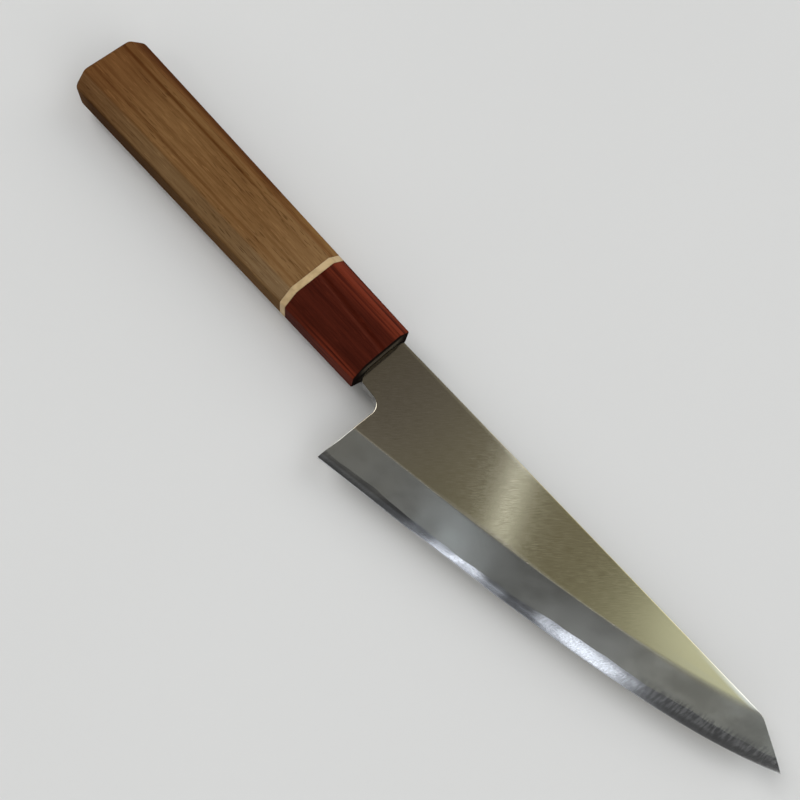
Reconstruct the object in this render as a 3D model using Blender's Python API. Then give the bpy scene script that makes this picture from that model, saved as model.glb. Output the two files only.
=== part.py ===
"""Honesuki, a Japanese boning knife, laid on its left side.

The knife is drawn in its own frame: X runs along the handle axis towards the
tip, Y towards the spine and Z towards the right face of the blade. The drawing
starts where the handle axis leaves the front of the ferrule. An empty then
carries the whole knife so that the handle's underside lies on Z = 0 and the
origin is in the middle below the knife.
"""

import math

import bmesh
import bpy
from mathutils import Vector
from mathutils.geometry import delaunay_2d_cdt

# Handle, in metres
HANDLE_LENGTH = 0.1240
FERRULE_LENGTH = 0.02905
SPACER_LENGTH = 0.0022
BUTT_HEIGHT = 0.0258
FRONT_HEIGHT = 0.0222
HANDLE_THICKNESS = 0.0168
BUTT_FACET_CUT = 0.0045
FRONT_FACET_CUT = 0.0044
FACET_EDGE_RADIUS = 0.0012
BUTT_END_RADIUS = 0.0016
FERRULE_LIP_RADIUS = 0.0005

# Dowel that lines up and ties the ferrule, the spacer and the handle body
FERRULE_FRONT_WALL = 0.0040
DOWEL_END_WALL = 0.0075
DOWEL_WALL = 0.0010
GLUE_CLEARANCE = 0.0002

# Tang and the resin that beds it
TANG_LENGTH = 0.0720
TANG_ROOT_HEIGHT = 0.0092
TANG_END_HEIGHT = 0.0050
TANG_END_THICKNESS = 0.0020
BEDDING_WALL = 0.0005
BEDDING_CLEARANCE = 0.0001
BEDDING_RECESS = 0.0002

# Blade outline: neck, choil and heel
NECK_TOP = 0.0086
NECK_BOTTOM = -0.0093
TOP_SHOULDER = 0.0010
BOTTOM_SHOULDER = 0.0023
NECK_FALL_ANGLE = math.radians(3.9)
CHOIL_RADIUS = 0.0035
HEEL_FACE_X = 0.0104
HEEL_LEAN = 0.0008
HEEL_DEPTH = -0.03315

# Blade outline: spine, clipped point and cutting edge
TIP_X = 0.15875
TIP_Y = 0.0031
CLIP_ANGLE = math.radians(29.6)
CLIP_LENGTH = 0.0155
CLIP_CORNER_RADIUS = 0.0050
SPINE_CROWN = 0.00015
EDGE_HEEL_ANGLE = math.radians(9.7)
EDGE_HEEL_PULL = 0.1014
EDGE_TIP_ANGLE = math.radians(25.8)
EDGE_TIP_PULL = 0.0248

# Grind: the right bevel is wide, the left one is a narrow band
SHINOGI_HEIGHT = 0.01305
SHINOGI_HEEL_ANGLE = math.radians(9.15)
SHINOGI_HEEL_PULL = 0.0662
SHINOGI_CORNER_ANGLE = math.radians(23.9)
SHINOGI_CORNER_PULL = 0.0282
LEFT_BEVEL_HEIGHT = 0.0065

# Blade thickness and its three layers
NECK_THICKNESS = 0.0034
CORNER_THICKNESS = 0.0018
CORE_THICKNESS = 0.00065
EDGE_THICKNESS = 0.0001

# How finely curves are drawn
EDGE_STEPS = 40
SPINE_STEPS = 14
ARC_STEPS = 6
FACET_EDGE_STEPS = 3
END_STEPS = 4
BORE_SIDES = 40
SMOOTH_ANGLE = math.radians(30)

# Cutters reach this far past the face they open
CUT_OVERRUN = 0.0020

# Curve points nearer than this to a line's end are left out
POINT_SPACING = 0.0010
SAME_POINT = 0.0000001
SEARCH_STEPS = 40

# Places worked out from the sizes above
FERRULE_BACK = -FERRULE_LENGTH
BODY_FRONT = FERRULE_BACK - SPACER_LENGTH
BUTT_X = -HANDLE_LENGTH
HALF_THICKNESS = HANDLE_THICKNESS / 2
HALF_CORE = CORE_THICKNESS / 2
HALF_EDGE = EDGE_THICKNESS / 2
SLOT_MARGIN = BEDDING_WALL + 2 * BEDDING_CLEARANCE
SLOT_HALF_HEIGHT = TANG_ROOT_HEIGHT / 2 + SLOT_MARGIN
SLOT_HALF_THICKNESS = NECK_THICKNESS / 2 + SLOT_MARGIN
DOWEL_RADIUS = math.hypot(SLOT_HALF_HEIGHT, SLOT_HALF_THICKNESS) + DOWEL_WALL
BORE_RADIUS = DOWEL_RADIUS + GLUE_CLEARANCE
DOWEL_FRONT = -FERRULE_FRONT_WALL - GLUE_CLEARANCE
SLOT_BACK = -TANG_LENGTH - SLOT_MARGIN
DOWEL_BACK = SLOT_BACK - DOWEL_END_WALL
CORNER_X = TIP_X - CLIP_LENGTH * math.cos(CLIP_ANGLE)
CORNER_Y = TIP_Y + CLIP_LENGTH * math.sin(CLIP_ANGLE)


def clear_scene():
    for item in list(bpy.data.objects):
        bpy.data.objects.remove(item, do_unlink=True)


def material(name, colour, roughness, metallic):
    """A plain Principled material."""
    made = bpy.data.materials.new(name)
    made.use_nodes = True
    shader = made.node_tree.nodes["Principled BSDF"]
    shader.inputs["Base Color"].default_value = (*colour, 1.0)
    shader.inputs["Roughness"].default_value = roughness
    shader.inputs["Metallic"].default_value = metallic
    made.diffuse_color = (*colour, 1.0)
    return made


def add_object(name, mesh, surface, smooth_angle=None):
    """Put a mesh in the scene under the knife's empty, with one material."""
    mesh.materials.append(surface)
    if smooth_angle is not None:
        mesh.shade_smooth()
        mesh.set_sharp_from_angle(angle=smooth_angle)
    made = bpy.data.objects.new(name, mesh)
    made.parent = bpy.data.objects["knife"]
    bpy.context.scene.collection.objects.link(made)
    return made


def arc(centre, radius, start, end, steps=ARC_STEPS):
    """Points on a circle from one angle to another, both ends included."""
    turn = (end - start) / steps
    angles = [start + turn * step for step in range(steps + 1)]
    return [(centre[0] + radius * math.cos(a), centre[1] + radius * math.sin(a)) for a in angles]


def fillet(before, corner, after, radius, steps=ARC_STEPS):
    """Points of a round corner that touches both straight sides."""
    into = (Vector(before) - Vector(corner)).normalized()
    away = (Vector(after) - Vector(corner)).normalized()
    half = into.angle(away) / 2
    centre = Vector(corner) + (into + away).normalized() * radius / math.sin(half)
    first = Vector(corner) + into * radius / math.tan(half) - centre
    last = Vector(corner) + away * radius / math.tan(half) - centre
    sweep = first.angle_signed(last)
    start = math.atan2(first.y, first.x)
    return arc(centre, radius, start, start - sweep, steps)


def bezier(start, start_angle, start_pull, end, end_angle, end_pull, steps):
    """A smooth curve between two points, leaving and arriving at given angles."""
    lead = (start[0] + start_pull * math.cos(start_angle), start[1] + start_pull * math.sin(start_angle))
    tail = (end[0] - end_pull * math.cos(end_angle), end[1] - end_pull * math.sin(end_angle))
    points = []
    for step in range(steps + 1):
        t = step / steps
        weights = ((1 - t) ** 3, 3 * (1 - t) ** 2 * t, 3 * (1 - t) * t * t, t ** 3)
        controls = (start, lead, tail, end)
        x = sum(w * c[0] for w, c in zip(weights, controls))
        y = sum(w * c[1] for w, c in zip(weights, controls))
        points.append((x, y))
    return points


def height_at(curve, x):
    """Height of a curve at x; past its ends the last height goes on."""
    if x <= curve[0][0]:
        return curve[0][1]
    for (x0, y0), (x1, y1) in zip(curve, curve[1:]):
        if x <= x1:
            return y0 + (y1 - y0) * (x - x0) / (x1 - x0)
    return curve[-1][1]


def loft(name, rings):
    """A closed solid through rings of points that all have the same count."""
    shape = bmesh.new()
    rows = [[shape.verts.new(point) for point in ring] for ring in rings]
    count = len(rows[0])
    for near, far in zip(rows, rows[1:]):
        for i in range(count):
            j = (i + 1) % count
            shape.faces.new((near[i], near[j], far[j], far[i]))
    shape.faces.new(reversed(rows[0]))
    shape.faces.new(rows[-1])
    bmesh.ops.recalc_face_normals(shape, faces=shape.faces)
    mesh = bpy.data.meshes.new(name)
    shape.to_mesh(mesh)
    shape.free()
    return mesh


def box_ring(x, half_height, half_thickness):
    """Four corners of a rectangle across the handle axis."""
    corners = ((1, 1), (-1, 1), (-1, -1), (1, -1))
    return [(x, half_height * a, half_thickness * b) for a, b in corners]


def round_ring(x, radius):
    """A circle across the handle axis."""
    angles = [2 * math.pi * i / BORE_SIDES for i in range(BORE_SIDES)]
    return [(x, radius * math.cos(a), radius * math.sin(a)) for a in angles]


def cut_away(target, name, rings):
    """Cut a lofted shape out of a piece."""
    cutter = bpy.data.objects.new(name, loft(name, rings))
    cutter.parent = bpy.data.objects["knife"]
    cutter.display_type = "WIRE"
    cutter.hide_render = True
    bpy.context.scene.collection.objects.link(cutter)
    cut = target.modifiers.new(name, "BOOLEAN")
    cut.operation = "DIFFERENCE"
    cut.object = cutter


# Handle


def handle_half_height(x):
    """Half the handle's height at x: an even taper from butt to front."""
    share = -x / HANDLE_LENGTH
    return (FRONT_HEIGHT + (BUTT_HEIGHT - FRONT_HEIGHT) * share) / 2


def octagon_ring(x, inset=0.0):
    """The handle's eight-sided section at x, drawn in evenly by the inset.

    The height tapers and the thickness is even. Each corner between two flats
    is softened by a small arc.
    """
    high = handle_half_height(x) - inset
    thick = HALF_THICKNESS - inset
    facet_cut = FRONT_FACET_CUT + (BUTT_FACET_CUT - FRONT_FACET_CUT) * -x / HANDLE_LENGTH
    facet_cut -= inset * (2 - math.sqrt(2))
    side = thick - facet_cut
    flat = high - facet_cut
    upper = [(high, -side), (high, side), (flat, thick), (-flat, thick)]
    corners = upper + [(-y, -z) for y, z in upper]
    ring = []
    for i, corner in enumerate(corners):
        after = corners[(i + 1) % len(corners)]
        ring += fillet(corners[i - 1], corner, after, FACET_EDGE_RADIUS, FACET_EDGE_STEPS)
    return [(x, y, z) for y, z in ring]


def rounded_end(x, inward, radius):
    """Rings that round off an end of the handle over a quarter circle."""
    rings = []
    for step in range(END_STEPS + 1):
        angle = math.pi / 2 * step / END_STEPS
        along = x + inward * radius * (1 - math.sin(angle))
        rings.append(octagon_ring(along, radius * (1 - math.cos(angle))))
    return rings


def make_handle_body(surface):
    """Walnut body with a rounded butt and a blind bore for the dowel."""
    rings = [octagon_ring(BODY_FRONT)] + rounded_end(BUTT_X, 1, BUTT_END_RADIUS)
    body = add_object("handle_body", loft("handle_body", rings), surface, SMOOTH_ANGLE)
    bore_ends = (BODY_FRONT + CUT_OVERRUN, DOWEL_BACK - GLUE_CLEARANCE)
    cut_away(body, "body_bore", [round_ring(x, BORE_RADIUS) for x in bore_ends])


def make_spacer(surface):
    """Pale ring between the walnut and the ferrule, bored for the dowel."""
    rings = [octagon_ring(FERRULE_BACK), octagon_ring(BODY_FRONT)]
    spacer = add_object("spacer_ring", loft("spacer_ring", rings), surface, SMOOTH_ANGLE)
    ends = (FERRULE_BACK + CUT_OVERRUN, BODY_FRONT - CUT_OVERRUN)
    cut_away(spacer, "spacer_bore", [round_ring(x, BORE_RADIUS) for x in ends])


def make_ferrule(surface):
    """Red wood ferrule: bored from behind, slotted for the tang in front."""
    rings = rounded_end(0.0, -1, FERRULE_LIP_RADIUS)[::-1] + [octagon_ring(FERRULE_BACK)]
    ferrule = add_object("ferrule", loft("ferrule", rings), surface, SMOOTH_ANGLE)
    bore_ends = (-FERRULE_FRONT_WALL, FERRULE_BACK - CUT_OVERRUN)
    cut_away(ferrule, "ferrule_bore", [round_ring(x, BORE_RADIUS) for x in bore_ends])
    slot_ends = (CUT_OVERRUN, -FERRULE_FRONT_WALL - CUT_OVERRUN)
    slot = [box_ring(x, SLOT_HALF_HEIGHT, SLOT_HALF_THICKNESS) for x in slot_ends]
    cut_away(ferrule, "ferrule_slot", slot)


def make_dowel(surface):
    """Round dowel through ferrule, spacer and body, slotted for the tang."""
    rings = [round_ring(DOWEL_FRONT, DOWEL_RADIUS), round_ring(DOWEL_BACK, DOWEL_RADIUS)]
    dowel = add_object("handle_dowel", loft("handle_dowel", rings), surface, SMOOTH_ANGLE)
    slot_ends = (DOWEL_FRONT + CUT_OVERRUN, SLOT_BACK)
    slot = [box_ring(x, SLOT_HALF_HEIGHT, SLOT_HALF_THICKNESS) for x in slot_ends]
    cut_away(dowel, "dowel_slot", slot)


def make_bedding(surface):
    """Resin that fills the slot around the tapered tang."""
    outer_height = SLOT_HALF_HEIGHT - BEDDING_CLEARANCE
    outer_thickness = SLOT_HALF_THICKNESS - BEDDING_CLEARANCE
    ends = (-BEDDING_RECESS, SLOT_BACK + BEDDING_CLEARANCE)
    rings = [box_ring(x, outer_height, outer_thickness) for x in ends]
    bedding = add_object("tang_bedding", loft("tang_bedding", rings), surface)
    root_height = TANG_ROOT_HEIGHT / 2 + BEDDING_CLEARANCE
    root_thickness = NECK_THICKNESS / 2 + BEDDING_CLEARANCE
    end_height = TANG_END_HEIGHT / 2 + BEDDING_CLEARANCE
    end_thickness = TANG_END_THICKNESS / 2 + BEDDING_CLEARANCE
    mouth = box_ring(CUT_OVERRUN, root_height, root_thickness)
    root = box_ring(0.0, root_height, root_thickness)
    end = box_ring(-TANG_LENGTH - BEDDING_CLEARANCE, end_height, end_thickness)
    cut_away(bedding, "tang_room", [mouth, root, end])


# Blade outline


def edge_curve():
    """Cutting edge from the heel corner to the tip."""
    heel = (HEEL_FACE_X - HEEL_LEAN, HEEL_DEPTH)
    tip = (TIP_X, TIP_Y)
    return bezier(heel, EDGE_HEEL_ANGLE, EDGE_HEEL_PULL, tip, EDGE_TIP_ANGLE, EDGE_TIP_PULL, EDGE_STEPS)


def spine_curve():
    """Spine from the neck shoulder to the clip corner, slightly crowned."""
    points = []
    for step in range(SPINE_STEPS + 1):
        t = step / SPINE_STEPS
        x = TOP_SHOULDER + (CORNER_X - TOP_SHOULDER) * t
        y = NECK_TOP + (CORNER_Y - NECK_TOP) * t + 4 * SPINE_CROWN * t * (1 - t)
        points.append((x, y))
    return points


def choil_centre():
    """Centre of the choil's arc, which touches the neck's lower edge and the heel face."""
    x = HEEL_FACE_X - CHOIL_RADIUS
    neck_edge = NECK_BOTTOM - (x - BOTTOM_SHOULDER) * math.tan(NECK_FALL_ANGLE)
    return (x, neck_edge - CHOIL_RADIUS / math.cos(NECK_FALL_ANGLE))


def heel_face_x(y):
    """The heel face leans back towards the handle on its way down."""
    top = choil_centre()[1]
    return HEEL_FACE_X - HEEL_LEAN * (top - y) / (top - HEEL_DEPTH)


def shinogi_curve():
    """Ridge between the flat and the wide right bevel, heel to clip corner."""
    start_y = HEEL_DEPTH + SHINOGI_HEIGHT
    start = (heel_face_x(start_y), start_y)
    end = clip_corner()[-1]
    return bezier(
        start, SHINOGI_HEEL_ANGLE, SHINOGI_HEEL_PULL,
        end, SHINOGI_CORNER_ANGLE, SHINOGI_CORNER_PULL, EDGE_STEPS,
    )


def clip_corner():
    """Softened corner between clip and spine, from the clip side up."""
    spine = spine_curve()
    return fillet((TIP_X, TIP_Y), spine[-1], spine[-2], CLIP_CORNER_RADIUS)


def shoulder(corner, side):
    """Concave curve from a corner of the neck down to the tang's root."""
    root = side * TANG_ROOT_HEIGHT / 2
    points = []
    for step in range(ARC_STEPS + 1):
        angle = math.pi / 2 * step / ARC_STEPS
        x = corner[0] * (1 - math.sin(angle))
        y = root + (corner[1] - root) * math.cos(angle)
        points.append((x, y))
    return points


def tang_outline():
    """Tang seen from the side, from its top root round its end to the bottom."""
    end = -TANG_LENGTH
    half = TANG_END_HEIGHT / 2
    return [(end, half), (end, -half)]


# Blade surfaces


def half_thickness(x):
    """Half the blade's full thickness: even taper from neck to clip corner."""
    if x < 0:
        share = -x / TANG_LENGTH
        return (NECK_THICKNESS + (TANG_END_THICKNESS - NECK_THICKNESS) * share) / 2
    share = x / CORNER_X
    return (NECK_THICKNESS + (CORNER_THICKNESS - NECK_THICKNESS) * share) / 2


class Grind:
    """One side's bevel, which thins the blade towards the cutting edge."""

    def __init__(self, ridge_height):
        self.edge = edge_curve()
        self.ridge_height = ridge_height

    def slope(self, x):
        """Rise of the bevel for each unit of height above the edge."""
        return (half_thickness(x) - HALF_EDGE) / self.ridge_height(x)

    def surface(self, x, y):
        """Half thickness at a point: flat above the ridge, bevel below it."""
        if x < self.edge[0][0]:
            return half_thickness(x)
        lift = y - height_at(self.edge, x)
        return min(half_thickness(x), HALF_EDGE + self.slope(x) * max(lift, 0.0))

    def weld_line(self):
        """Where the bevel meets the core: from the heel face to the clip."""
        return self.line(lambda x: (HALF_CORE - HALF_EDGE) / self.slope(x))

    def line(self, lift):
        """A line at some lift above the edge, ending on heel face and clip."""
        y = HEEL_DEPTH
        for _ in range(SEARCH_STEPS):
            x = heel_face_x(y)
            y = height_at(self.edge, x) + lift(x)
        first = (x, y)
        low, high = CORNER_X, TIP_X
        for _ in range(SEARCH_STEPS):
            middle = (low + high) / 2
            if height_at(self.edge, middle) + lift(middle) < clip_height(middle):
                low = middle
            else:
                high = middle
        last = (low, clip_height(low))
        start = first[0] + POINT_SPACING
        end = last[0] - POINT_SPACING
        inner = [(x, y + lift(x)) for x, y in self.edge if start < x < end]
        return [first] + inner + [last]


def clip_height(x):
    """Height of the clip line at x."""
    return TIP_Y + (TIP_X - x) * math.tan(CLIP_ANGLE)


def right_ridge_height(x):
    """Height of the wide bevel above the edge; past the clip corner it stays."""
    ridge = shinogi_curve()
    at = min(x, ridge[-1][0])
    return height_at(ridge, at) - height_at(edge_curve(), at)


def left_ridge_height(x):
    """The narrow bevel follows the edge at one height."""
    return LEFT_BEVEL_HEIGHT


RIGHT = Grind(right_ridge_height)
LEFT = Grind(left_ridge_height)


def blade_outline(lower):
    """Closed outline of a layer, anticlockwise seen from the right side.

    It starts with the layer's lower line, which runs from the heel face to
    the clip, and goes on by clip, spine, tang, neck and choil back down the
    heel face. Points where ridges and weld lines end are always kept.
    """
    marks = [RIGHT.weld_line(), LEFT.weld_line(), left_ridge(), shinogi_curve()]
    clip = [line[-1] for line in marks[:3] if line[-1][0] < lower[-1][0] - SAME_POINT]
    heel = [line[0] for line in marks if line[0][1] > lower[0][1] + SAME_POINT]
    spine = spine_curve()
    corner = clip_corner()
    outline = list(lower)
    outline += sorted(clip, key=lambda p: -p[0])
    outline += corner
    outline += [p for p in reversed(spine) if p[0] < corner[-1][0] - POINT_SPACING]
    outline += shoulder(spine[0], 1)[1:]
    outline += tang_outline()
    outline += shoulder((BOTTOM_SHOULDER, NECK_BOTTOM), -1)[::-1]
    outline += arc(choil_centre(), CHOIL_RADIUS, math.pi / 2 - NECK_FALL_ANGLE, 0.0)
    outline += sorted(heel, key=lambda p: -p[1])
    return outline


def left_ridge():
    """Ridge above the narrow left bevel."""
    return LEFT.line(left_ridge_height)


def root_line():
    """Fold across the tang's root, where its own taper begins."""
    half = TANG_ROOT_HEIGHT / 2
    return [(0.0, half), (0.0, -half)]


def triangles(outline, folds):
    """Triangles that fill an outline, with edges kept along each fold."""
    points = list(outline)
    edges = [(i, (i + 1) % len(outline)) for i in range(len(outline))]
    for fold in folds:
        chain = []
        for point in fold:
            near = [i for i, p in enumerate(outline) if math.dist(p, point) < SAME_POINT]
            if not near:
                points.append(point)
                near = [len(points) - 1]
            chain.append(near[0])
        edges += list(zip(chain, chain[1:]))
    flat = [Vector(point) for point in points]
    found = delaunay_2d_cdt(flat, edges, [], 1, SAME_POINT / 100)
    place = [sources[0] for sources in found[3]]
    return points, [[place[i] for i in face] for face in found[2]]


def add_layer(name, outline, top, top_folds, bottom, bottom_folds, surface):
    """A layer of the blade between two height functions over one outline."""
    shape = bmesh.new()
    rims = []
    for height, folds, flip in ((top, top_folds, False), (bottom, bottom_folds, True)):
        points, faces = triangles(outline, folds)
        verts = [shape.verts.new((x, y, height(x, y))) for x, y in points]
        for face in faces:
            corners = [verts[i] for i in face]
            shape.faces.new(reversed(corners) if flip else corners)
        rims.append(verts[:len(outline)])
    for i in range(len(outline)):
        j = (i + 1) % len(outline)
        shape.faces.new((rims[1][i], rims[1][j], rims[0][j], rims[0][i]))
    bmesh.ops.remove_doubles(shape, verts=shape.verts, dist=SAME_POINT)
    bmesh.ops.dissolve_degenerate(shape, edges=shape.edges, dist=SAME_POINT)
    bmesh.ops.recalc_face_normals(shape, faces=shape.faces)
    mesh = bpy.data.meshes.new(name)
    shape.to_mesh(mesh)
    shape.free()
    add_object(name, mesh, surface)


def make_core(surface):
    """Hard core steel: a thin plate bared along the edge on both sides."""
    add_layer(
        "core_steel", blade_outline(edge_curve()),
        lambda x, y: min(HALF_CORE, RIGHT.surface(x, y)), [RIGHT.weld_line()],
        lambda x, y: -min(HALF_CORE, LEFT.surface(x, y)), [LEFT.weld_line()],
        surface,
    )


def make_right_cladding(surface):
    """Soft steel on the right: flat, ridge and the wide bevel."""
    add_layer(
        "right_cladding", blade_outline(RIGHT.weld_line()),
        lambda x, y: max(HALF_CORE, RIGHT.surface(x, y)), [shinogi_curve(), root_line()],
        lambda x, y: HALF_CORE, [],
        surface,
    )


def make_left_cladding(surface):
    """Soft steel on the left: flat down to a narrow bevel."""
    add_layer(
        "left_cladding", blade_outline(LEFT.weld_line()),
        lambda x, y: -HALF_CORE, [],
        lambda x, y: -max(HALF_CORE, LEFT.surface(x, y)), [left_ridge(), root_line()],
        surface,
    )


def place_knife():
    """Empty that carries the knife: centred over the origin, underside on Z = 0."""
    middle_x = (TIP_X + BUTT_X) / 2
    middle_y = (handle_half_height(BUTT_X + BUTT_END_RADIUS) + HEEL_DEPTH) / 2
    carrier = bpy.data.objects.new("knife", None)
    carrier.location = (-middle_x, -middle_y, HALF_THICKNESS)
    bpy.context.scene.collection.objects.link(carrier)


def main():
    clear_scene()
    place_knife()
    walnut = material("walnut", (0.27, 0.16, 0.10), 0.5, 0.0)
    cream = material("cream", (0.84, 0.76, 0.58), 0.4, 0.0)
    red_wood = material("red_wood", (0.20, 0.035, 0.02), 0.3, 0.0)
    pale_wood = material("pale_wood", (0.66, 0.55, 0.38), 0.6, 0.0)
    resin = material("resin", (0.05, 0.04, 0.035), 0.4, 0.0)
    soft_steel = material("soft_steel", (0.56, 0.53, 0.47), 0.32, 1.0)
    hard_steel = material("hard_steel", (0.74, 0.75, 0.76), 0.2, 1.0)
    make_handle_body(walnut)
    make_spacer(cream)
    make_ferrule(red_wood)
    make_dowel(pale_wood)
    make_bedding(resin)
    make_core(hard_steel)
    make_right_cladding(soft_steel)
    make_left_cladding(soft_steel)


main()
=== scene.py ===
# %% [markdown]
# # A honesuki, a boning knife, piece by piece
#
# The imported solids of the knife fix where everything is. This lesson dresses them: it
# draws finer surfaces for the handle and the three steel layers, gives each a finish of
# its own, and sets up the studio and the camera.

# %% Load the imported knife
import math
from functools import partial

import bmesh
import bpy
import numpy as np
from mathutils import Matrix, Vector


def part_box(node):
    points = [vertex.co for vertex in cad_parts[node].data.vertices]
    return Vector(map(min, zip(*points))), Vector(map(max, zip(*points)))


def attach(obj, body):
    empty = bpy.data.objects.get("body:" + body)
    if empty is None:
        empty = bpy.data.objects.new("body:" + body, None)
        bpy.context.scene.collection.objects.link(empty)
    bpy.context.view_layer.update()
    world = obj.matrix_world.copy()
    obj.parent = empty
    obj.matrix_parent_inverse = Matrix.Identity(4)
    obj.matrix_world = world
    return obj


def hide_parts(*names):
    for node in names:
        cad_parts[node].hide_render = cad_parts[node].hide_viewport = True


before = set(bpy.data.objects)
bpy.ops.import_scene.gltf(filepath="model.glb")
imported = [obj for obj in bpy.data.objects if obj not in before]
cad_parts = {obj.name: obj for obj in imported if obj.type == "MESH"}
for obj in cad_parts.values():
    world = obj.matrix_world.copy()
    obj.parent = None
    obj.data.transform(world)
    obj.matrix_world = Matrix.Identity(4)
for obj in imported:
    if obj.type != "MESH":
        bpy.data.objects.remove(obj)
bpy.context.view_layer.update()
print("nodes:", sorted(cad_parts))

# %% [markdown]
# ## One place to measure from
#
# The knife is drawn in millimetres from the point where the handle's axis leaves the
# ferrule's front: x to the tip, y to the spine, z out of the right face. The ferrule's
# box tells where that point is, so nothing has to be fitted by hand.

# %% From drawing millimetres to world metres
MM_IN_METRE = 1000.0
ferrule_low, ferrule_high = (np.array(corner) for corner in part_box("ferrule"))
AXIS_FRONT = (ferrule_low + ferrule_high) / 2
AXIS_FRONT[0] = ferrule_high[0]


def to_world(points):
    """World metres: drawing points divided by 1000 and moved to the axis front."""
    return np.asarray(points, dtype=float) / MM_IN_METRE + AXIS_FRONT


print("axis front at", np.round(AXIS_FRONT, 5))

# %% [markdown]
# ## Curves for the blade
#
# Edge, ridge and spine could be traced point by point. But a cubic Bezier with an angle
# and a pull at each end is as long and even as a ground line, and four numbers change it.

# %% Curves
def direction(degrees):
    """The unit vector (cosine, sine) of an angle."""
    return np.array([math.cos(math.radians(degrees)), math.sin(math.radians(degrees))])


def bezier(start, start_angle, start_pull, end, end_angle, end_pull, count=241):
    """Four control points blended by (1-t)^3, 3t(1-t)^2, 3t^2(1-t) and t^3."""
    t = np.linspace(0, 1, count)[:, None]
    start, end = np.array(start, dtype=float), np.array(end, dtype=float)
    lead, tail = start + start_pull * direction(start_angle), end - end_pull * direction(end_angle)
    return (1 - t) ** 3 * start + 3 * t * (1 - t) ** 2 * lead + 3 * t * t * (1 - t) * tail + t ** 3 * end


def arc(centre, radius, first, last, count):
    """Centre plus radius times (cosine, sine) of even angles."""
    angle = np.linspace(first, last, count)
    return np.column_stack([centre[0] + radius * np.cos(angle), centre[1] + radius * np.sin(angle)])


def steps_of(path):
    """Distances from point to point, by Pythagoras."""
    return np.hypot(*np.diff(path, axis=0).T)


def walk(path, places):
    """Points at given shares (0 to 1) of a path's length."""
    along = np.concatenate([[0.0], np.cumsum(steps_of(path))])
    return np.column_stack([np.interp(places, along / along[-1], part) for part in path.T])


def unit(vectors):
    """Vectors divided by their own lengths."""
    return vectors / np.maximum(np.hypot(*vectors.T), 1e-9)[..., None]


print("half a unit circle:", steps_of(arc((0, 0), 1, 0, math.pi, 91)).sum().round(4))

# %% [markdown]
# A honesuki has a deep heel, behind it a round notch for a finger, the choil, and at
# the tip a straight cut, the clip. Only a few corners are given as numbers. The arcs of
# choil and clip follow from them, because they have to touch the lines beside them.

# %% Edge, choil, spine, clip and ridge
HEEL, TIP = np.array([9.6, -33.15]), np.array([158.75, 3.1])
NECK_LOW, NECK_FALL, HEEL_X, CHOIL_RADIUS = np.array([2.3, -9.3]), math.radians(3.9), 10.4, 3.5
SPINE_START, CROWN, CLIP_LENGTH, CLIP_ANGLE, CORNER_RADIUS = np.array([1.0, 8.6]), 0.15, 15.5, 29.6, 5.0
choil_x = HEEL_X - CHOIL_RADIUS
choil_y = NECK_LOW[1] - (choil_x - NECK_LOW[0]) * math.tan(NECK_FALL) - CHOIL_RADIUS / math.cos(NECK_FALL)
CHOIL = arc((choil_x, choil_y), CHOIL_RADIUS, 0.0, math.pi / 2 - NECK_FALL, 19)
CORNER = TIP + CLIP_LENGTH * direction(CLIP_ANGLE) * [-1, 1]
t = np.linspace(0, 1, 80)[:, None]
SPINE = SPINE_START + (CORNER - SPINE_START) * t + [0.0, 4 * CROWN] * t * (1 - t)
spine_way, clip_way = unit(SPINE[-1] - SPINE[-2]), unit(TIP - CORNER)
bend = math.acos(float(spine_way @ clip_way))
spine_end = CORNER - spine_way * (CORNER_RADIUS * math.tan(bend / 2))
arc_centre = spine_end + CORNER_RADIUS * np.array([spine_way[1], -spine_way[0]])
first = math.atan2(*(spine_end - arc_centre)[::-1])
CLIP = np.vstack([arc(arc_centre, CORNER_RADIUS, first, first - bend, 24), TIP])
SPINE = SPINE[SPINE[:, 0] < spine_end[0] - 0.5]
EDGE = bezier(HEEL, 9.7, 101.4, TIP, 25.8, 24.8)
RIDGE = bezier((10.1, -20.1), 9.15, 66.2, CLIP[0], 23.9, 28.2)
print("edge runs", steps_of(EDGE).sum().round(1), "mm, clip corner at", spine_end.round(2))

# %% [markdown]
# ## Thickness, ridge and weld line
#
# The blade is three layers forged together, hard steel between two soft ones, and
# grinding lays the hard one bare along the edge. The weld line could be one smooth
# curve, but forging leaves it uneven, so measured lifts and two long waves draw it.

# %% Lines of each side
HALF_CORE, HALF_EDGE = 0.45, 0.02
NECK_HALF, LOSS_TO_CORNER, LOSS_TO_TANG, TANG_LENGTH = 1.7, 0.8, 0.7, 72.0
LEFT_BEVEL, LEFT_BAND, LEFT_SOFT = 6.5, 1.5, 0.3
WELD_X = [9, 18, 27, 35, 45, 60, 75, 90, 98, 112, 122, 132, 142, 151, 158]
WELD_LIFT = [3.0, 3.0, 3.1, 2.8, 2.5, 2.5, 2.9, 3.7, 4.1, 4.0, 4.1, 4.5, 4.2, 3.8, 3.5]


def edge_y(x):
    """The cutting edge's y at x, read off its curve."""
    return np.interp(x, EDGE[:, 0], EDGE[:, 1])


def half_thickness(x):
    """Straight lines: 1.7 mm at the neck, 0.9 at the clip's corner, 1 at the tang's end."""
    return NECK_HALF + np.where(x < 0, LOSS_TO_TANG * x / TANG_LENGTH, -LOSS_TO_CORNER * x / CORNER[0])


def ridge_lift(side, x):
    """How far the ridge lies above the edge; beyond the clip's corner it stays."""
    at = np.minimum(x, RIDGE[-1, 0])
    wide = np.interp(at, RIDGE[:, 0], RIDGE[:, 1]) - edge_y(at)
    return wide if side > 0 else np.full_like(wide, LEFT_BEVEL)


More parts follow.
